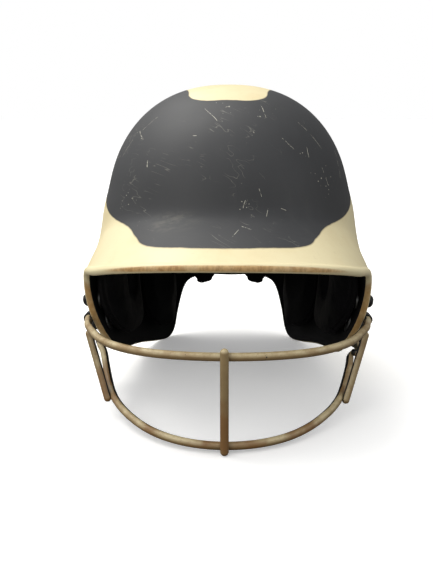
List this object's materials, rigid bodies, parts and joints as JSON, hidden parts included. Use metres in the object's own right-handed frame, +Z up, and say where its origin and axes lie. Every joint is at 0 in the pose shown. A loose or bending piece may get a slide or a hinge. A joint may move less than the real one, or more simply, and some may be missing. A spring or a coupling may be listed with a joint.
{
  "type": "batting helmet",
  "caption": "Moulded batting helmet with brim, two ear flaps, rear ponytail arch, removable pads and a wire face guard held by clips.",
  "frame": {"origin": "bottom centre of the whole helmet's box, on the table it rests on", "axes": "+Z up from the table, -Y the way the wearer faces, +X to the right as seen from the front; the helmet rests tipped back by 2.95 degrees on the guard and its two rear corners"},
  "size_m": [0.2196, 0.2986, 0.231],
  "materials": {
    "shell": "cream moulding with a matte black painted front",
    "pad_cloth": "black brushed lining over foam",
    "hook_tape": "black hook tape",
    "black_steel": "black, satin",
    "zinc_steel": "zinc plated",
    "clip_nylon": "black nylon",
    "coated_wire": "cream dipped coating, black on the wearer's side"
  },
  "bodies": {
    "helmet": {"shell": "shell", "crown_pad": "pad_cloth", "forehead_pad": "pad_cloth", "hook_patches": "hook_tape", "clip_screws": "black_steel", "clip_washers": "black_steel", "clip_t_nuts": "zinc_steel", "temple_pad_left": "pad_cloth", "rear_side_pad_left": "pad_cloth", "nape_pad_left": "pad_cloth", "upper_clip_left": "clip_nylon", "lower_clip_left": "clip_nylon", "temple_pad_right": "pad_cloth", "rear_side_pad_right": "pad_cloth", "nape_pad_right": "pad_cloth", "upper_clip_right": "clip_nylon", "lower_clip_right": "clip_nylon"},
    "guard": {"guard_top_bar": "coated_wire", "guard_bottom_bar": "coated_wire", "guard_centre_bar": "coated_wire", "guard_side_link_left": "coated_wire", "guard_side_link_right": "coated_wire"},
    "jaw_pad_left": {"jaw_pad_left": "pad_cloth"},
    "jaw_pad_right": {"jaw_pad_right": "pad_cloth"}
  },
  "joints": [
    {"name": "guard_slide", "type": "slide", "parent": "helmet", "child": "guard", "axis": [0, -0.9987, 0.0515], "range_m": [0, 0.03]},
    {"name": "jaw_pad_left_pull", "type": "slide", "parent": "helmet", "child": "jaw_pad_left", "axis": [-1, 0, 0], "range_m": [0, 0.015]},
    {"name": "jaw_pad_right_pull", "type": "slide", "parent": "helmet", "child": "jaw_pad_right", "axis": [1, 0, 0], "range_m": [0, 0.015]}
  ]
}
